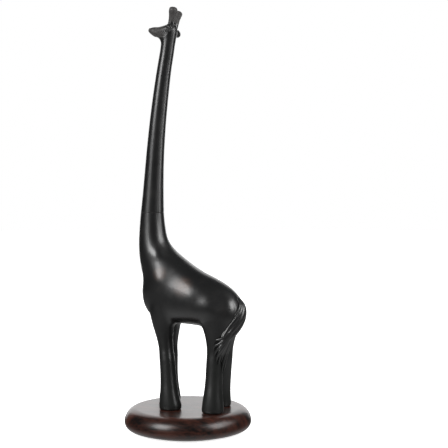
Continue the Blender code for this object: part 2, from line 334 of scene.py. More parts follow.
legShape = {
    "sides": 64,
    "squareness": 2.25,
    "steps": 10,
    "ease": 12,
    # rings that run on up inside the torso: how far up and back, shares of y, length and width
    "crowns": {
        "front": [(32, 8, 0.8, 0.4, 0.5), (14, 4, 1, 0.84, 0.92)],
        "hind": [(11, 0, 0.7, 0.35, 0.35)],
    },
}
hoof = {
    "tuck": 1.0,                   # how far the sole draws in from the widest line
    "sole": [(1.7, 0.10), (0.7, 0.40), (0.1, 1.0)],    # height over the base, share of the tuck
    "cleftDepth": 0.7,
    "cleftWidth": 0.8,
    "cleftTop": (4, 8),            # heights over the base where the cleft fades
    "toe": 3,                      # the cleft starts this far before the leg's middle
    "reach": 17,
}


def planeRing(station, sides):
    # a ring from its front and back points
    frontX, frontZ, backX, backZ, width = station
    front, back = np.array((frontX, 0, frontZ)), np.array((backX, 0, backZ))
    return oval((front + back) / 2, (back - front) / 2, (0, width, 0), sides)


def turned(points, turn):
    # turned about the upright line through the head's pivot
    pivot = np.array((head["pivotX"], 0, 0))
    spin = np.array(Matrix.Rotation(turn, 3, "Z"))
    return (np.array(points) - pivot) @ spin.T + pivot


def upperStations():
    # the neck's and head's stations in one form, from the joint up to the nose
    rows = [(x - r, z, x + r, z, r) for z, x, r in neck["stations"]]
    return rows + head["stations"]


def makeTorsoAndLegs():
    # one spline runs through torso and neck, so that the two carvings meet in one line
    overlap = upperStations()[1:3][::-1]
    rows = throughStations(overlap + torso["stations"], torso["steps"], torso["ease"])
    start = 2 * torso["steps"] - torso["overlap"]
    rings = [planeRing(row, torso["sides"]) for row in rows[start:]]
    parts = [loft("torso", rings, endTip=torso["tip"])]
    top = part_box("base_disc")[1].z / mm
    for stations in legs.values():
        z, x, y, length, width = stations[-1]
        sole = [(top + over, x, y, length - hoof["tuck"] * drawn, width - hoof["tuck"] * drawn)
                for over, drawn in hoof["sole"]]
        z, x, y, length, width = stations[0]
        crown = [(z + up, x + back, out * y, long * length, wide * width)
                 for up, back, out, long, wide in legShape["crowns"]["front" if x < 0 else "hind"]]
        rows = throughStations(crown + stations + sole[:1], legShape["steps"], legShape["ease"])
        rings = [oval((x, y, z), (a, 0, 0), (0, b, 0), legShape["sides"], legShape["squareness"])
                 for z, x, y, a, b in rows.tolist() + sole[1:]]
        parts.append(loft("leg", rings))
    return remeshed(joined("body", parts), torso["voxel"])


def fillCreases(obj):
    # creases where legs and torso meet are filled to soft hollows, and only a little is worn away
    points, normals = getPoints(obj), getNormals(obj)
    target = relaxed(obj, torso["filletRounds"])
    lift = np.einsum("ij,ij->i", target - points, normals)
    heights = points[:, 2]
    share = rise(heights, *torso["filletFrom"]) * (1 - rise(heights, *torso["filletTo"]))
    change = np.clip(lift, -torso["worn"], torso["filled"]) * share
    setPoints(obj, points + normals * change[:, None])
    setPoints(obj, relaxed(obj, torso["easeRounds"]))


def addMuscles(obj):
    points, normals = getPoints(obj), getNormals(obj)
    lift = np.zeros(len(points))
    for x, y, z, radius, height in torso["muscles"]:
        for side in (-1, 1):
            away = np.linalg.norm(points - (x, side * y, z), axis=1)
            lift += height * bell(away, radius)
    setPoints(obj, points + normals * (lift + torso["swell"])[:, None])


def carveHooves(obj):
    # a cleft at the toe of each hoof
    points, normals = getPoints(obj), getNormals(obj)
    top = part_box("base_disc")[1].z / mm
    drop = np.zeros(len(points))
    for stations in legs.values():
        x, y = stations[-1][1:3]
        near = np.hypot(points[:, 0] - x, points[:, 1] - y) < hoof["reach"]
        toe = near & (points[:, 0] < x - hoof["toe"])
        fade = 1 - rise(points[:, 2] - top, *hoof["cleftTop"])
        drop += toe * hoof["cleftDepth"] * (bell(points[:, 1] - y, hoof["cleftWidth"]) * fade)
    setPoints(obj, points - normals * drop[:, None])


def trimAbove(obj, height):
    # saws the piece flat at a height and closes the face
    body = bmesh.new()
    body.from_mesh(obj.data)
    geometry = body.verts[:] + body.edges[:] + body.faces[:]
    out = bmesh.ops.bisect_plane(body, geom=geometry, plane_co=(0, 0, height * mm),
                                 plane_no=(0, 0, 1), clear_outer=True)
    rim = [e for e in out["geom_cut"] if isinstance(e, bmesh.types.BMEdge)]
    bmesh.ops.holes_fill(body, edges=rim)
    bmesh.ops.triangulate(body, faces=[f for f in body.faces if len(f.verts) > 4])
    body.to_mesh(obj.data)
    body.free()


print("helpers ready")
body = makeTorsoAndLegs()
fillCreases(body)
addMuscles(body)
carveHooves(body)
jointHeight = neck["stations"][0][0]
trimAbove(body, jointHeight - neck["jointGap"] / 2)
print("body carved:", len(body.data.vertices), "points")


# neck and head, one carving; strokes lie on the cheek, given by x and height, and cut both sides
headStrokes = {
    "brow": ([(-44.4, 459.8), (-41.5, 460.2), (-38.0, 460.7),
              (-34.0, 461.1), (-29.5, 461.7), (-24.0, 462.2)], 0.7, 0.7),
    "browEdge": ([(-43.5, 460.8), (-38.0, 461.9), (-32.0, 462.5), (-26.0, 463.1)], 0.75, -0.42),
    "muzzle": ([(-43.6, 459.9), (-43.3, 458.6), (-43.5, 457.0),
                (-43.9, 455.4), (-44.4, 454.2)], 0.5, 0.5),
    "upperLid": ([(-39.4, 458.7), (-38.4, 459.5), (-37.0, 459.8),
                  (-35.6, 459.5), (-34.7, 458.8)], 0.3, 0.42),
    "lowerLid": ([(-39.4, 458.9), (-38.0, 458.4), (-36.4, 458.3), (-34.9, 458.8)], 0.32, 0.38),
    "lidFold": ([(-40.2, 458.0), (-38.2, 457.2), (-36.2, 457.1),
                 (-34.4, 457.9), (-33.4, 459.2)], 0.36, 0.26),
    "cheek1": ([(-33.2, 460.3), (-32.2, 458.5), (-32.6, 456.6),
                (-34.4, 454.9), (-36.6, 454.0)], 0.42, 0.3),
    "cheek2": ([(-31.3, 460.7), (-30.2, 458.7), (-30.7, 456.2),
                (-32.8, 453.9), (-35.4, 452.7)], 0.42, 0.3),
    "cheek3": ([(-29.5, 460.9), (-28.6, 459.3), (-29.2, 457.2),
                (-28.4, 455.2), (-30.2, 452.8), (-32.6, 451.5)], 0.42, 0.3),
    "cheek4": ([(-27.7, 461.3), (-26.6, 459.4), (-27.5, 457.3),
                (-26.3, 455.1), (-27.4, 452.7), (-29.6, 450.9)], 0.42, 0.3),
    "cheek5": ([(-25.8, 461.5), (-24.6, 459.6), (-25.5, 457.0),
                (-24.2, 454.6), (-25.3, 452.0), (-27.2, 450.4)], 0.42, 0.26),
    "cheek6": ([(-23.9, 461.3), (-22.8, 459.6), (-23.6, 456.6),
                (-22.4, 454.0), (-23.6, 451.5), (-25.2, 450.2)], 0.42, 0.2),
    "jaw": ([(-43.8, 454.6), (-40.8, 453.0), (-37.2, 451.7),
             (-33.4, 450.4), (-29.6, 449.5), (-26.0, 449.6)], 0.6, 0.5),
}
# soft forms of the head: x, height, distance out from the middle plane (None: on the surface),
# radius, lift
headForms = [
    (-45.9, 457.6, None, 2.3, 0.45),     # nose cap
    (-37.1, 458.9, None, 1.3, 0.35),     # eye
    (-19.0, 461.4, None, 3.8, 1.5),      # boss under the horn
    (-30.5, 455.5, None, 5.5, 0.35),     # cheek
    (-40.8, 457.3, None, 2.6, -0.22),    # hollow before the eye
    (-46.8, 459.0, 1.8, 0.45, -0.35),    # nostril
    (-30.0, 462.8, 2.5, 4.5, 0.15),      # forehead
]


def onCheek(points, x, z):
    # the point of the left cheek at that x and height; points of the other side are ruled out
    away = (points[:, 0] - x) ** 2 + (points[:, 2] - z) ** 2 + 1e6 * (points[:, 1] > 0.2)
    return points[np.argmin(away)]


def toPath(points, path):
    # distance of each point to a smooth path, and how far along it lies, from 0 to 1
    line = throughStations(path, 8, 2)
    best = np.full(len(points), 1e9)
    along = np.zeros(len(points))
    for i, (a, b) in enumerate(zip(line[:-1], line[1:])):
        way = b - a
        t = np.clip((points - a) @ way / (way @ way), 0, 1)
        away = np.linalg.norm(points - a - t[:, None] * way, axis=1)
        nearer = away < best
        best[nearer] = away[nearer]
        along[nearer] = (i + t[nearer]) / (len(line) - 1)
    return best, along


def makeNeckAndHead():
    rows = throughStations(upperStations(), neck["steps"], neck["ease"])
    rows = rows[rows[:, 1] >= jointHeight]
    rings = np.array([planeRing(row, neck["sides"]) for row in rows])
    rings[0][:, 2] = jointHeight + neck["jointGap"] / 2
    obj = loft("neckAndHead", rings, endTip=head["nose"])
    points, normals = getPoints(obj), getNormals(obj)
    folded = points * (1, -1, 1)
    folded[:, 1] = -np.abs(points[:, 1])
    near = (points[:, 2] > head["carvedAbove"]) & (points[:, 0] < head["carvedBefore"])
    lift = np.zeros(len(points))
    for x, z, out, radius, height in headForms:
        middle = onCheek(points, x, z) if out is None else np.array((x, -out, z))
        lift[near] += height * bell(np.linalg.norm(folded[near] - middle, axis=1), radius)
    for path, width, depth in headStrokes.values():
        away, along = toPath(folded[near], [onCheek(points, x, z) for x, z in path])
        taper = np.sin(np.pi * np.clip(along, 0.02, 0.98)) ** 0.6
        taper = head["strokeEnds"] + (1 - head["strokeEnds"]) * taper
        lift[near] -= depth * taper * bell(away, width)
    # the head's turn grows over the last of the neck and the first of the skull
    points = points + normals * lift[:, None]
    share = rise(points[:, 2], *head["turnFrom"])[:, None]
    setPoints(obj, points * (1 - share) + turned(points, head["turn"]) * share)
    return obj


# horns, along their own axis: distance from the foot, radius
horn = {
    "foot": (-18.2, 6.4, 463.0),
    "tip": (-14.4, 10.4, 481.4),
    "rightDrop": 1.2,
    "stations": [
        (-4.4, 3.2),
        (-2.0, 3.8),
        (0.0, 4.0),
        (2.0, 3.85),
        (5.0, 3.8),
        (8.5, 3.9),
        (12.0, 4.4),
        (15.2, 4.9),
        (17.4, 4.4),
        (18.7, 3.0),
        (19.2, 1.3),
    ],
    "sides": 96,
    "steps": 14,
    "ease": 4,
    "hairLines": 11,
    "hairDepth": 0.16,
    "hairFrom": (1.0, 4.0),        # the hair lines grow and fade over these lengths
    "hairTo": (11.0, 14.5),
    "clubFrom": (12.0, 14.5),
    "clubRough": 0.42,             # the right club's knobs, and how far its hollows sink
    "clubSink": 0.25,
    "dimples": [(15.8, -0.42, 1.15, 0.6), (15.6, 0.42, 1.1, 0.5)],    # distance, angle, radius, depth
}

# ears, along their own axis: distance from the root, half height, half depth
ear = {
    "root": (-20.8, 7.2, 456.4),
    "outward": {-1: (0.22, 1.0, 0.08), 1: (0.34, 1.0, -0.14)},
    "stations": [
        (-3.6, 1.9, 1.7),
        (0.0, 2.2, 1.9),
        (2.4, 3.2, 2.6),
        (5.6, 4.5, 3.3),
        (9.2, 4.6, 3.3),
        (12.2, 3.5, 2.5),
        (13.9, 2.1, 1.4),
        (14.7, 1.1, 0.8),
    ],
    "tip": 15.0,
    "sides": 96,
    "steps": 14,
    "ease": 4,
    "openFrom": (1.0, 4.6),        # the hollow opens and closes over these lengths
    "openTo": (11.2, 14.0),
    "rim": (0.42, 0.86),           # shares of the half height between which its wall climbs
    "bowl": 1.45,                  # how deep the hollow goes, in half depths
    "ridge": 0.75,
    "sideRidge": 0.35,
}


def placed(points, origin, axes):
    return np.array(origin) + np.array(points) @ np.array(axes)


def hornAxes(side):
    drop = horn["rightDrop"] if side > 0 else 0
    ends = [np.array((x, side * y, z - drop)) for x, y, z in (horn["foot"], horn["tip"])]
    foot, tip = turned(ends, head["turn"])
    along = (tip - foot) / np.linalg.norm(tip - foot)
    forward = np.array((-1.0, 0, 0))
    forward -= along * (forward @ along)
    forward /= np.linalg.norm(forward)
    return foot, (forward, np.cross(along, forward), along)


def makeHorn(side, spare=0.0):
    # spare makes the same horn a little stouter, to cut its socket with
    foot, axes = hornAxes(side)
    rows = throughStations(horn["stations"], horn["steps"], horn["ease"])
    angles = roundAngles(horn["sides"])
    rings = []
    for distance, radius in rows:
        sway = angles + 0.16 * math.sin(distance * 0.45)
        hair = horn["hairLines"] * sway + 0.9 * math.sin(distance * 0.3)
        shaft = rise(distance, *horn["hairFrom"]) * (1 - rise(distance, *horn["hairTo"]))
        out = radius + spare - horn["hairDepth"] * shaft * (0.5 + 0.5 * np.cos(hair)) ** 2
        if side < 0:
            for place, angle, width, depth in horn["dimples"]:
                turn = (angles - angle + math.pi) % (2 * math.pi) - math.pi
                out = out - depth * bell(np.hypot(distance - place, turn * radius), width)
        else:
            rough = np.sin(4 * angles + distance * 0.9) * np.sin(3 * angles - distance * 1.3 + 0.7)
            finer = np.sin(7 * angles - distance * 1.6) * np.sin(2 * angles + distance * 1.5)
            rough = rough + 0.7 * finer
            club = rise(distance, *horn["clubFrom"])
            out = out + club * (horn["clubRough"] * np.abs(rough) - horn["clubSink"])
        height = np.full(len(angles), distance)
        rings.append(np.stack([out * np.cos(angles), out * np.sin(angles), height], axis=1))
    length = np.linalg.norm(np.array(horn["tip"]) - horn["foot"])
    ends = [(0, 0, rows[0][0] - 0.6 - spare), (0, 0, length + spare)]
    start, tip = placed(ends, foot, axes)
    return loft("horn", [placed(ring, foot, axes) for ring in rings], start, tip)


def earAxes(side):
    x, y, z = ear["outward"][side]
    along = Vector((x, side * y, z)).normalized()
    height = along.cross(Vector((1, 0, 0))).normalized()
    depth = height.cross(along)
    root = np.array((ear["root"][0], side * ear["root"][1], ear["root"][2]))
    axes = [turned(np.array(v) + (head["pivotX"], 0, 0), head["turn"]) - (head["pivotX"], 0, 0)
            for v in (depth, height, along)]
    return turned(root, head["turn"]), axes


def makeEar(side, spare=0.0):
    root, axes = earAxes(side)
    rows = throughStations(ear["stations"], ear["steps"], ear["ease"])
    angles = roundAngles(ear["sides"])
    rings = []
    for distance, height, depth in rows:
        x, y = (depth + spare) * np.cos(angles), (height + spare) * np.sin(angles)
        # the front half folds in to a leaf-shaped bowl with a rolled rim and a low ridge
        opened = rise(distance, *ear["openFrom"]) * (1 - rise(distance, *ear["openTo"]))
        bowl = (1 - rise(np.abs(y) / height, *ear["rim"])) * opened
        front = rise(-np.cos(angles), 0.0, 0.25)
        x = x + front * bowl * ear["bowl"] * depth * np.abs(np.cos(angles))
        crest = 0.16 * height * math.sin(distance * 0.62 - 0.8) - 0.1
        x = x - front * opened * ear["ridge"] * bell(y - crest, 0.55)
        x = x - front * opened * ear["sideRidge"] * bell(y - crest - 1.55, 0.4)
        rings.append(np.stack([x, y, np.full(len(angles), distance)], axis=1))
    ends = [(0, 0, rows[0][0] - 0.4 - spare), (0, 0, ear["tip"] + spare)]
    start, tip = placed(ends, root, axes)
    return loft("ear", [placed(ring, root, axes) for ring in rings], start, tip)


# room round what is let in, radii of the holes, and how far a cutting tool runs past a face
fitting = {
    "socketSpare": 0.07,
    "tailSpare": 0.1,
    "dowelHole": 4.3,
    "dowelDepth": 29,              # from the joint up
    "pilotHole": 2.2,
    "past": 5,
}

neckAndHead = makeNeckAndHead()
horns = {side: makeHorn(side) for side in (-1, 1)}
ears = {side: makeEar(side) for side in (-1, 1)}
sockets = [maker(side, fitting["socketSpare"]) for maker in (makeHorn, makeEar) for side in (-1, 1)]
past = fitting["past"]
dowelPlace = (neck["stations"][0][1], 0)
dowelHole = cylinder("hole", (*dowelPlace, jointHeight - past), fitting["dowelDepth"] + past,
                     fitting["dowelHole"])
cut(neckAndHead, sockets + [dowelHole])
print("head, horns and ears carved")


# tail from its plug in the rump to where its hair parts: x, y, z, half width, half thickness
tail = {
    "stations": [
        (54.5, 0.0, 154.5, 3.2, 2.0),
        (61.4, -0.4, 151.6, 4.4, 2.2),
        (66.7, -3.2, 142.8, 6.9, 3.8),
        (65.9, -8.8, 131.4, 8.4, 4.6),
        (60.0, -14.8, 120.4, 8.2, 4.6),
        (54.0, -20.2, 111.2, 6.2, 3.6),
        (50.8, -23.0, 106.0, 3.6, 2.2),
    ],
    "tip": (49.8, -23.8, 103.8),
    "sides": 120,
    "steps": 20,
    "ease": 12,
    "ridges": 4,
    "ridgeDepth": 0.75,
    "ridgeFade": (3.2, 5.0),       # half widths between which the ridges fade in
    "rumpMiddle": 40.0,            # x of the upright line that the tail lies round
    "lockSides": 20,
    "voxel": 0.32,
    "easeRounds": 3,
    # locks of hair on the left thigh: angle round the leg (0 behind, -90 outside), height,
    # how far the middle stands off the thigh, half width
    "locks": [
        [(-24, 117, 3.4, 2.2), (-44, 111.5, 3.4, 2.0), (-64, 108.8, 2.7, 1.6),
         (-80, 107.6, 1.8, 1.2), (-89, 103.6, 0.7, 0.35)],
        [(-26, 115, 3.6, 2.2), (-48, 107.6, 3.8, 2.0), (-66, 103.6, 3.0, 1.6),
         (-81, 101.0, 1.9, 1.2), (-88, 96.4, 0.7, 0.35)],
        [(-28, 113, 3.6, 2.2), (-47, 104.4, 4.0, 2.0), (-62, 98.8, 3.1, 1.6),
         (-72, 95.2, 2.0, 1.2), (-76, 90.0, 0.7, 0.35)],
        [(-28, 111, 3.6, 2.2), (-43, 101.8, 4.0, 2.0), (-54, 94.8, 3.2, 1.7),
         (-60, 89.8, 2.1, 1.2), (-61, 84.0, 0.7, 0.35)],
        [(-27, 110, 3.4, 2.1), (-37, 101.0, 3.7, 2.0), (-44, 93.4, 3.0, 1.6),
         (-47, 86.6, 2.0, 1.2), (-46, 79.8, 0.7, 0.35)],
        [(-24, 110, 3.0, 2.0), (-29, 102.4, 3.2, 1.8),
         (-32, 94.0, 2.6, 1.5), (-31, 83.0, 0.8, 0.35)],
        [(-20, 110, 3.2, 2.0), (-19, 100.0, 3.4, 1.8), (-18, 90.0, 2.8, 1.6),
         (-17, 80.0, 2.0, 1.1), (-16, 72.0, 0.8, 0.35)],
        [(-16, 110, 3.4, 2.0), (-9, 99.0, 3.6, 1.8), (-4, 88.0, 3.0, 1.6),
         (-1, 78.0, 2.2, 1.2), (0, 69.0, 0.9, 0.35)],
    ],
}


def barRings(rows, outward, sides, ridges=0, ridgeDepth=0.0):
    # rings across a path; outward gives the direction away from the body at each point
    points = rows[:, :3]
    ways = np.gradient(points, axis=0)
    rings = []
    angles = roundAngles(sides)
    for point, way, out, width, thick in zip(points, ways, outward, rows[:, 3], rows[:, 4]):
        way = way / np.linalg.norm(way)
        out = out - way * (out @ way)
        out = out / np.linalg.norm(out)
        across = np.cross(way, out)
        waves = (0.5 - 0.5 * np.cos(2 * ridges * angles)) ** 3 if ridges else 0
        groove = ridgeDepth * waves * rise(width, *tail["ridgeFade"])
        u, v = (width - groove) * np.cos(angles), (thick - groove) * np.sin(angles)
        rings.append(point + np.outer(u, across) + np.outer(v, out))
    return rings


def alongLock(stations):
    # turns a lock's places round the leg into points, and its tapering section
    leg = np.array(legs["leftHind"])[::-1]
    rows, outward = [], []
    for angle, z, stand, width in throughStations(stations, 10, 3):
        x, y, length, breadth = [np.interp(z, leg[:, 0], leg[:, i]) for i in (1, 2, 3, 4)]
        way = np.array((math.cos(math.radians(angle)), math.sin(math.radians(angle)), 0))
        middle = np.array((x, y, z)) + way * (length + stand, breadth + stand, 0)
        rows.append((*middle, width, 0.8 * width + 0.1))
        outward.append(way)
    return np.array(rows), outward


def makeTail():
    rows = throughStations(tail["stations"], tail["steps"], tail["ease"])
    outward = [np.array((x - tail["rumpMiddle"], 1.6 * y, 0)) for x, y in rows[:, :2]]
    rings = barRings(rows, outward, tail["sides"], tail["ridges"], tail["ridgeDepth"])
    parts = [loft("tail", rings, rows[0, :3], tail["tip"])]
    for stations in tail["locks"]:
        rows, outward = alongLock(stations)
        rings = barRings(rows, outward, tail["lockSides"])
        parts.append(loft("lock", rings, endTip=2 * rows[-1, :3] - rows[-2, :3]))
    obj = remeshed(joined("tail", parts), tail["voxel"])
    setPoints(obj, relaxed(obj, tail["easeRounds"]))
    return obj


tailPiece = makeTail()
tailBed = tailPiece.copy()
tailBed.data = tailPiece.data.copy()
bpy.context.scene.collection.objects.link(tailBed)
setPoints(tailBed, getPoints(tailBed) + fitting["tailSpare"] * getNormals(tailBed))
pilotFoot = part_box("base_disc")[1].z / mm - past
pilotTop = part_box("left_front_leg_screw")[1].z / mm + 1
pilots = [cylinder("pilot", (*stations[-1][1:3], pilotFoot), pilotTop - pilotFoot, fitting["pilotHole"])
          for stations in legs.values()]
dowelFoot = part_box("neck_dowel")[0].z / mm - 1
dowelHole = cylinder("hole", (*dowelPlace, dowelFoot), jointHeight + past - dowelFoot,
                     fitting["dowelHole"])
cut(body, pilots + [tailBed, dowelHole])
print("tail bedded in the rump")


# turned base
base = {
    "rimHeight": 10.5,             # height of the widest line
    "topReach": 14.0,              # how far the upper and under curves run in from the rim
    "underReach": 9.0,
    "faceRings": (57.5, 40, 20),
    "sides": 192,
    "steps": 22,
    "screwHole": 2.2,
    "counterbore": (4.7, 9.3),     # radius and how high it goes
    "sharpAngle": 35,
}


def makeBase():
    low, high = [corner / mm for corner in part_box("base_disc")]
    radius = (high.x - low.x) / 2
    profile = []
    for reach, end, fractions in ((base["underReach"], low.z, np.linspace(1, 0, base["steps"])),
                                  (base["topReach"], high.z, np.linspace(0, 1, base["steps"])[1:])):
        for part in fractions:
            angle = part * math.pi / 2
            height = base["rimHeight"] + (end - base["rimHeight"]) * math.sin(angle)
            profile.append((height, radius - reach + reach * math.cos(angle)))
    rings = [oval((0, 0, z), (r, 0, 0), (0, r, 0), base["sides"]) for z, r in profile]
    inner = [oval((0, 0, high.z), (r, 0, 0), (0, r, 0), base["sides"]) for r in base["faceRings"]]
    obj = loft("base", rings + inner)
    boreRadius, boreTop = base["counterbore"]
    tools = []
    for stations in legs.values():
        x, y = stations[-1][1:3]
        tools.append(cylinder("hole", (x, y, -past), high.z + 2 * past, base["screwHole"]))
        tools.append(cylinder("bore", (x, y, -past), boreTop + past, boreRadius))
    cut(obj, tools)
    obj.data.set_sharp_from_angle(angle=math.radians(base["sharpAngle"]))
    return obj


basePiece = makeBase()
print("base turned")


class Wire:
    # a socket of a finish; sums on it add Math nodes
    def __init__(self, finish, socket):
        self.finish = finish
        self.socket = socket

    def maths(self, operation, first, second):
        return self.finish.node("Math", {"operation": operation}, {0: first, 1: second})

    def __add__(self, other):
        return self.maths("ADD", self, other)

    def __radd__(self, other):
        return self.maths("ADD", other, self)

    def __sub__(self, other):
        return self.maths("SUBTRACT", self, other)

    def __rsub__(self, other):
        return self.maths("SUBTRACT", other, self)

    def __mul__(self, other):
        return self.maths("MULTIPLY", self, other)

    def __rmul__(self, other):
        return self.maths("MULTIPLY", other, self)


class Finish:
    # the nodes of a material or of the sky, and its shader
    def __init__(self, owner, shader="Principled BSDF"):
        self.owner = owner
        owner.use_nodes = True
        self.tree = owner.node_tree
        self.shader = self.tree.nodes[shader]

    def plug(self, socket, value):
        if isinstance(value, Wire):
            self.tree.links.new(value.socket, socket)
        elif isinstance(value, tuple) and socket.type == "RGBA":
            socket.default_value = (*value, 1)
        else:
            socket.default_value = value

    def node(self, kind, settings=None, sockets=None, output=0):
        made = self.tree.nodes.new("ShaderNode" + kind)
        for key, value in (settings or {}).items():
            if key != "stops":
                setattr(made, key, value)
                continue
            for i, (place, shade) in enumerate(value):
                stop = made.color_ramp.elements[i] if i < 2 else made.color_ramp.elements.new(place)
                stop.position = place
                stop.color = (shade, shade, shade, 1)
        for key, value in (sockets or {}).items():
            self.plug(made.inputs[key], value)
        return Wire(self, made.outputs[output])

    def mix(self, share, first, second):
        return self.node("Mix", {"data_type": "RGBA"}, {0: share, 6: first, 7: second}, 2)

    def place(self, stretch=(1, 1, 1), turn=(0, 0, 0)):
        # where a point is in millimetres, squeezed along each axis
        spot = self.node("TexCoord", output=3)
        size = tuple(s / mm for s in stretch)
        return self.node("Mapping", None, {"Vector": spot, "Rotation": turn, "Scale": size})

    def noise(self, where, scale, detail=2.0, rough=0.5, warp=0.0):
        return self.node("TexNoise", None, {
            "Vector": where, "Scale": scale, "Detail": detail, "Roughness": rough, "Distortion": warp})

    def band(self, value, low, high):
        # 0 below low and 1 above high
        settings = {"interpolation_type": "SMOOTHSTEP"}
        return self.node("MapRange", settings, {"Value": value, "From Min": low, "From Max": high})

    def ramp(self, value, *stops):
        return self.node("ValToRGB", {"stops": stops}, {0: value})

    def bump(self, height, depth, under=None):
        # depth is the height of the bump in millimetres
        sockets = {"Height": height, "Distance": depth * mm, "Strength": 1.0}
        if under:
            sockets["Normal"] = under
        return self.node("Bump", None, sockets)

    def paint(self, sockets):
        for name, value in sockets.items():
            self.plug(self.shader.inputs[name], value)
        return self.owner


# black stained and rubbed wood of the carved pieces, with painted highlights on its ridges and a
# painted warm highlight tint
ebonyWood = {
    "black": (0.0060, 0.0062, 0.0065),
    # lighter colour of worn patches and of the painted highlight on sharp ridges
    "worn": (0.020, 0.017, 0.015),
    "grain": (0.012, 0.011, 0.0105),
    # warm brown of the painted highlight tint
    "highlightTintBrown": (0.050, 0.026, 0.017),
    "paintedHighlightTint": [((-25, -24, 180), 11), ((3, -25, 166), 15)],    # painted warm highlight tint: its middles on the near shoulder and ribs, how far it reaches
    "legs": (0.0115, 0.0122, 0.0115),
    "face": (0.050, 0.046, 0.044),
    "legsEnd": (0.075, 0.130),     # metres, from the origin: heights where the legs' shade ends
    "faceFrom": (0.446, 0.452),    # heights where the face starts
    "faceEnd": (-0.029, -0.022),   # and how far back it goes
    "hornsFrom": (0.463, 0.467),
    "roughness": 0.31,
    "roughSpread": 0.16,
    "mattRoughness": 0.22,         # what the face and horns add
    "specular": 0.5,
    "grainDepth": 0.018,           # millimetres
    "knifeDepth": 0.10,
    "coat": 0.25,
    "coatRoughness": 0.2,
}


def makeEbonyWood(name, stretch, turn=(0, 0, 0)):
    # stretch follows the way the grain runs in that piece
    finish = Finish(bpy.data.materials.new(name))
    grain = finish.noise(finish.place(stretch, turn), 1.6, 5.0, 0.6, 0.6)
    fine = finish.noise(finish.place(stretch, turn), 5.0, 3.0, 0.6)
    cloud = finish.noise(finish.place(), 0.055, 3.0, 0.55)
    knife = finish.noise(finish.place((1, 1, 0.55)), 0.16, 1.0, 0.4)
    ridge = finish.node("NewGeometry", output="Pointiness")
    # lighter on sharp ridges, partly rubbed wear and partly a painted highlight along the ridges;
    # random patches add more wear
    ridgeWearAndSheen = finish.ramp(ridge, (0.52, 0), (0.6, 1)) * 0.6
    ridgeWearAndSheen = ridgeWearAndSheen + finish.ramp(cloud, (0.55, 0), (0.8, 1)) * 0.25
    shade = finish.mix(ridgeWearAndSheen, ebonyWood["black"], ebonyWood["worn"])
    shade = finish.mix(finish.ramp(grain, (0.35, 0), (0.75, 1)) * 0.35, shade, ebonyWood["grain"])
    # the legs are a shade greyer; the face and horns are greyer still, and matt from the knife
    spot = finish.node("TexCoord", output=3)
    x, z = [finish.node("SeparateXYZ", None, {0: spot}, axis) for axis in "XZ"]
    legs = 1 - finish.band(z, *ebonyWood["legsEnd"])
    face = finish.band(z, *ebonyWood["faceFrom"]) * (1 - finish.band(x, *ebonyWood["faceEnd"]))
    matt = 1 - (1 - face) * (1 - finish.band(z, *ebonyWood["hornsFrom"]))
    # a painted warm highlight tint, mixed in as brown, where the key light's highlights fall on the
    # near shoulder and ribs
    paintedHighlightTint = 0.0
    for place, reach in ebonyWood["paintedHighlightTint"]:
        middle = tuple(v * mm for v in place)
        away = finish.node("VectorMath", {"operation": "DISTANCE"}, {0: spot, 1: middle}, "Value")
        paintedHighlightTint = paintedHighlightTint + (1 - finish.band(away, 0.2 * reach * mm, reach * mm))
    paintedHighlightTint = paintedHighlightTint * finish.ramp(finish.noise(finish.place(), 0.35, 4.0, 0.6), (0.3, 0.35), (0.65, 1))
    shade = finish.mix(paintedHighlightTint, shade, ebonyWood["highlightTintBrown"])
    mottle = finish.noise(finish.place(), 0.7, 4.0, 0.65, 0.5)
    shade = finish.mix(legs * 0.8, shade, ebonyWood["legs"])
    shade = finish.mix(matt * finish.ramp(mottle, (0.3, 0.3), (0.7, 1)), shade, ebonyWood["face"])
    low = ebonyWood["roughness"] - ebonyWood["roughSpread"] / 2
    roughness = low + ebonyWood["roughSpread"] * cloud + 0.06 * grain
    roughness = roughness + ebonyWood["mattRoughness"] * matt + 0.05 * paintedHighlightTint - 0.03 * legs
    surface = finish.bump(knife, ebonyWood["knifeDepth"])
    surface = finish.bump(grain * 0.6 + fine * 0.4, 2 * ebonyWood["grainDepth"], surface)
    return finish.paint({
        "Base Color": shade,
        "Roughness": roughness,
        "Normal": surface,
        "Specular IOR Level": ebonyWood["specular"],
        "Coat Weight": ebonyWood["coat"] * (1 - legs) * (1 - matt),
        "Coat Roughness": ebonyWood["coatRoughness"],
    })


# dark red-brown lacquered wood of the base
walnutWood = {
    "dark": (0.0042, 0.0028, 0.0026),
    "red": (0.052, 0.0165, 0.0105),
    "pore": (0.006, 0.004, 0.004),
    "roughness": 0.25,
    "specular": 0.38,
    "coat": 0.06,
    "coatRoughness": 0.22,
    "grainTurn": 0.35,             # way of the grain, from the statue's length
    "poreDepth": 0.012,            # millimetres
    "flowDepth": 0.08,
}


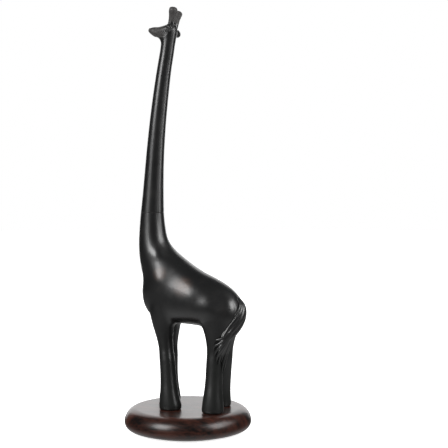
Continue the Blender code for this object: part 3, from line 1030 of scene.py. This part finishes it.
def makeWalnutWood():
    finish = Finish(bpy.data.materials.new("walnutWood"))
    turn = (0, 0, walnutWood["grainTurn"])
    flow = finish.noise(finish.place((0.3, 1, 0.7), turn), 0.075, 3.0, 0.55, 0.8)
    bands = finish.noise(finish.place((0.10, 1, 1), turn), 0.42, 5.0, 0.62, 0.4)
    pores = finish.noise(finish.place((0.07, 1, 1), turn), 3.2, 3.0, 0.7)
    share = finish.ramp(flow * 0.6 + bands * 0.4, (0.40, 0), (0.62, 1))
    colour = finish.mix(share, walnutWood["dark"], walnutWood["red"])
    opened = finish.ramp(pores, (0.60, 0), (0.72, 1))
    shade = finish.mix(opened * 0.7, colour, walnutWood["pore"])
    surface = finish.bump(1 - opened, walnutWood["poreDepth"])
    surface = finish.bump(flow, walnutWood["flowDepth"], surface)
    return finish.paint({
        "Base Color": shade,
        "Roughness": walnutWood["roughness"] + 0.12 * bands + 0.1 * opened,
        "Normal": surface,
        "Specular IOR Level": walnutWood["specular"],
        "Coat Weight": walnutWood["coat"],
        "Coat Roughness": walnutWood["coatRoughness"],
    })


# felt, steel and beech of the pieces that keep their CAD shape; bump depths in millimetres
feltCloth = {"dark": (0.010, 0.010, 0.011), "pale": (0.034, 0.033, 0.033), "fibre": 0.12, "sheen": 0.3}


def makeFeltCloth():
    finish = Finish(bpy.data.materials.new("feltCloth"))
    fibres = finish.noise(finish.place(), 3.0, 4.0, 0.7, 2.5)
    tufts = finish.noise(finish.place(), 0.6, 2.0, 0.6)
    share = finish.ramp(fibres, (0.35, 0), (0.7, 1))
    return finish.paint({
        "Base Color": finish.mix(share, feltCloth["dark"], feltCloth["pale"]),
        "Roughness": 0.9 + 0.1 * tufts,
        "Normal": finish.bump(fibres, feltCloth["fibre"]),
        "Sheen Weight": feltCloth["sheen"],
    })


screwSteel = {"bright": (0.58, 0.58, 0.56), "dull": (0.36, 0.35, 0.34), "roughness": 0.28,
              "scratch": 0.01}


def makeScrewSteel():
    finish = Finish(bpy.data.materials.new("screwSteel"))
    rub = finish.noise(finish.place((1, 1, 6)), 1.4, 3.0, 0.6)
    spots = finish.noise(finish.place(), 0.7, 3.0, 0.6)
    share = finish.ramp(spots, (0.45, 0), (0.75, 1))
    return finish.paint({
        "Base Color": finish.mix(share, screwSteel["bright"], screwSteel["dull"]),
        "Metallic": 1.0,
        "Roughness": screwSteel["roughness"] + 0.2 * rub,
        "Normal": finish.bump(rub, screwSteel["scratch"]),
    })


beechWood = {"pale": (0.56, 0.40, 0.25), "dark": (0.40, 0.26, 0.15), "roughness": 0.6,
             "grainDepth": 0.03}


def makeBeechWood():
    finish = Finish(bpy.data.materials.new("beechWood"))
    grain = finish.noise(finish.place((1, 1, 0.08)), 1.8, 4.0, 0.6)
    flecks = finish.noise(finish.place((1, 1, 0.3)), 4.5, 2.0, 0.5)
    share = finish.ramp(grain, (0.35, 0), (0.7, 1)) * 0.8
    share = share + finish.ramp(flecks, (0.6, 0), (0.75, 1)) * 0.2
    colour = finish.mix(share, beechWood["pale"], beechWood["dark"])
    return finish.paint({
        "Base Color": colour,
        "Roughness": beechWood["roughness"] + 0.15 * grain,
        "Normal": finish.bump(grain, beechWood["grainDepth"]),
    })


uprightGrain = makeEbonyWood("ebonyUpright", (1, 1, 0.07))
crossGrain = makeEbonyWood("ebonyAcross", (1, 0.12, 1))
pieces = [
    (body, "torsoAndLegs", "body", uprightGrain, "carved_wood"),
    (neckAndHead, "neckAndHead", "neck_and_head", uprightGrain, "carved_wood"),
    (tailPiece, "tuftedTail", "tail", uprightGrain, "carved_wood"),
    (horns[-1], "leftHorn", "left_horn", uprightGrain, "carved_wood"),
    (horns[1], "rightHorn", "right_horn", uprightGrain, "carved_wood"),
    (ears[-1], "leftEar", "left_ear", crossGrain, "carved_wood"),
    (ears[1], "rightEar", "right_ear", crossGrain, "carved_wood"),
    (basePiece, "turnedBase", "base_disc", makeWalnutWood(), "base_wood"),
]
for obj, name, node, finish, slot in pieces:
    obj.name = name
    obj.data.materials.clear()
    obj.data.materials.append(finish)
    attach(obj, "root")
    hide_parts(node)

feltFinish, steelFinish, beechFinish = makeFeltCloth(), makeScrewSteel(), makeBeechWood()
for node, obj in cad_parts.items():
    kept = {"base_felt": feltFinish, "neck_dowel": beechFinish}.get(node)
    if node.endswith("leg_screw"):
        kept = steelFinish
    if kept:
        obj.material_slots[0].material = kept
print("finishes on", len(pieces), "carved pieces and the fittings")


# pale floor, soft studio light and the camera; metres and degrees from here on
studio = {
    "floorRadius": 7.0,
    "floorEdge": (12, 150),        # its thickness and its first ring, millimetres
    "floorSides": 96,
    "floorColour": (0.86, 0.86, 0.855),
    "floorPale": (0.9, 0.9, 0.9),
    "floorGlow": 0.8,
    "sky": 1.0,                    # brightness behind the statue
    "skyLight": 0.35,              # what it gives to dull surfaces
    "roomGloss": 0.02,             # what polished surfaces see of the room, and below it of the table
    "tableGloss": 0.80,
    "tableEdge": (-0.80, -0.05),   # slopes between which the one passes into the other
}
# softboxes: turn from the camera, distance, height, width, tall, watts, aim height
softboxes = {
    "keyBox": (-52, 1.6, 1.03, 0.84, 0.95, 33.0, 0.02),
    "sideBox": (59, 1.6, 1.03, 0.76, 0.95, 22.0, 0.02),
    "neckStrip": (81, 0.5, 0.40, 0.10, 0.36, 0.75, 0.36),
    "backPanel": (180, 2.2, 1.00, 2.6, 2.6, 36.0, 0.50),
}
view = {
    "azimuth": 22.0,
    "distance": 1.1144,
    "height": 0.2648,
    "lens": 78.35,
    "right": 2.125,                # the aim is this far right of the statue and below level
    "down": 1.512,
}


def onCircle(azimuth, distance, height):
    turn = math.radians(azimuth)
    return Vector((math.sin(turn) * distance, -math.cos(turn) * distance, height))


def addSoftbox(name, turn, distance, height, width, tall, watts, aim):
    lamp = bpy.data.lights.new(name, "AREA")
    lamp.shape = "RECTANGLE"
    lamp.size, lamp.size_y = width, tall
    lamp.energy = watts
    obj = bpy.data.objects.new(name, lamp)
    bpy.context.scene.collection.objects.link(obj)
    obj.location = onCircle(view["azimuth"] + turn, distance, height)
    obj.rotation_euler = (Vector((0, 0, aim)) - obj.location).to_track_quat("-Z", "Y").to_euler()
    obj.visible_camera = False


def makeFloor():
    radius = studio["floorRadius"] / mm
    thick, first = studio["floorEdge"]
    sizes = [(-thick, radius), (0, radius), (0, radius / 3), (0, first)]
    rings = [oval((0, 0, z), (r, 0, 0), (0, r, 0), studio["floorSides"]) for z, r in sizes]
    floor = loft("floor", rings)
    finish = Finish(bpy.data.materials.new("palePaper"))
    cloud = finish.noise(finish.place(), 0.02, 2.0)
    finish.paint({
        "Base Color": finish.mix(cloud, studio["floorColour"], studio["floorPale"]),
        "Roughness": 0.85,
        "Emission Color": (1, 1, 1),
        "Emission Strength": studio["floorGlow"],
    })
    floor.data.materials.append(finish.owner)
    floor.visible_glossy = False
    floor.visible_diffuse = False
    floor.visible_shadow = False


def makeSky():
    # plain white to look at; polished surfaces see a dim room over a paler table
    world = bpy.data.worlds.new("studioSky")
    bpy.context.scene.world = world
    sky = Finish(world, "Background")
    way = sky.node("SeparateXYZ", None, {0: sky.node("TexCoord")}, "Z")
    low, high = studio["tableEdge"]
    room = sky.node("MapRange", {"interpolation_type": "SMOOTHSTEP"}, {
        "Value": way, "From Min": low, "From Max": high,
        "To Min": studio["tableGloss"], "To Max": studio["roomGloss"]})
    glossy = sky.node("LightPath", output="Is Glossy Ray")
    seen = sky.node("LightPath", output="Is Camera Ray")
    light = glossy * room + (1 - glossy) * studio["skyLight"]
    sky.paint({"Color": (1, 1, 1), "Strength": seen * studio["sky"] + (1 - seen) * light})


def makeCamera():
    lens = bpy.data.cameras.new("camera")
    lens.lens = view["lens"]
    lens.sensor_width = 36
    lens.clip_start = 0.01
    obj = bpy.data.objects.new("camera", lens)
    bpy.context.scene.collection.objects.link(obj)
    obj.location = onCircle(view["azimuth"], view["distance"], view["height"])
    turn = view["azimuth"] - view["right"]
    obj.rotation_euler = (math.radians(90 - view["down"]), 0, math.radians(turn))
    bpy.context.scene.camera = obj


makeFloor()
makeSky()
for name, settings in softboxes.items():
    addSoftbox(name, *settings)
makeCamera()
bpy.context.scene.view_settings.view_transform = "Standard"
print("studio lit")
